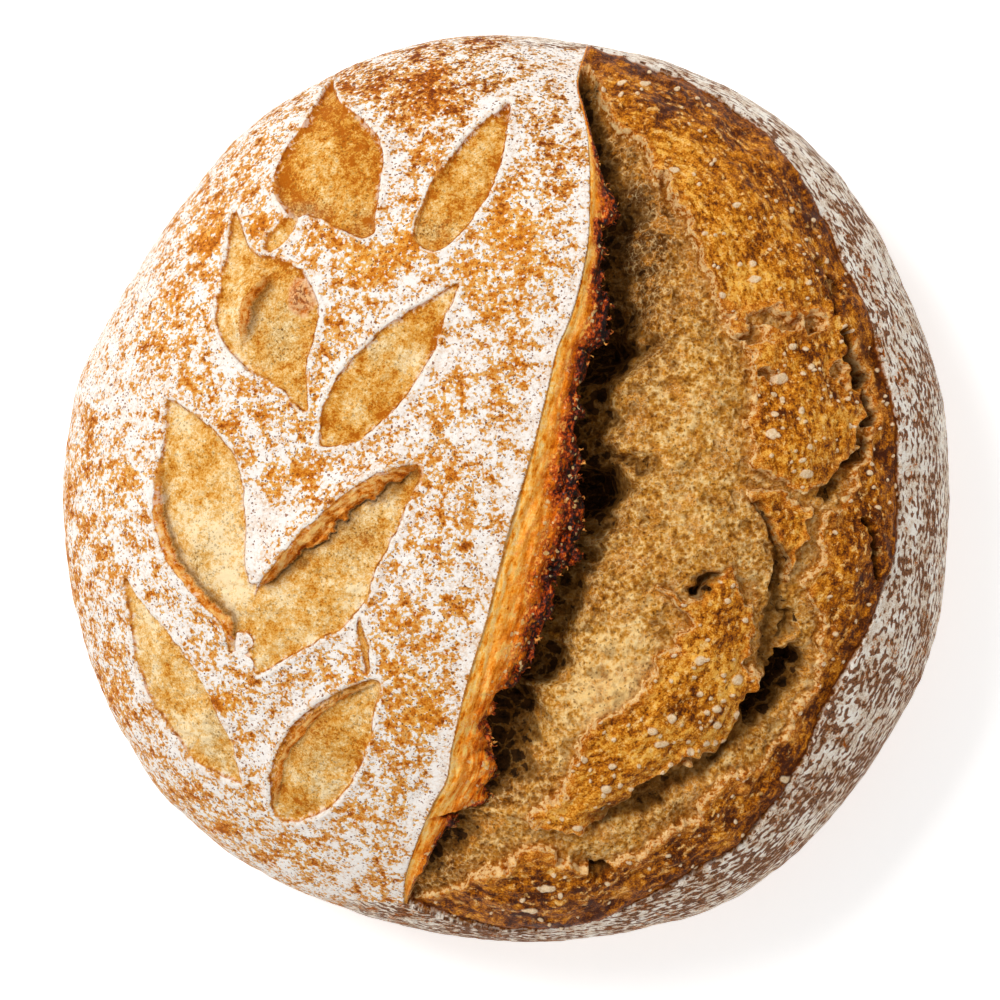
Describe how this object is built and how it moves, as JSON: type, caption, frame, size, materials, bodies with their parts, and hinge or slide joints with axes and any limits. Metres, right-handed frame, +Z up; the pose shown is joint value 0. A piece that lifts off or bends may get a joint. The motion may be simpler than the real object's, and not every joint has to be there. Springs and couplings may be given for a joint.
{
  "type": "sourdough loaf",
  "caption": "Round sourdough loaf with a flat base, a floured crust with leaf-shaped scores, and a long open burst beside a lifted ear.",
  "frame": {"origin": "on the board the loaf stands on, under the middle of its outline", "axes": "+Z up, +Y along the ear towards its upper end, +X from the leaf-shaped scores towards the burst"},
  "size_m": [0.2306, 0.2363, 0.1039],
  "materials": {
    "crust": null
  },
  "bodies": {
    "root": {"loaf": "crust"}
  },
  "joints": []
}
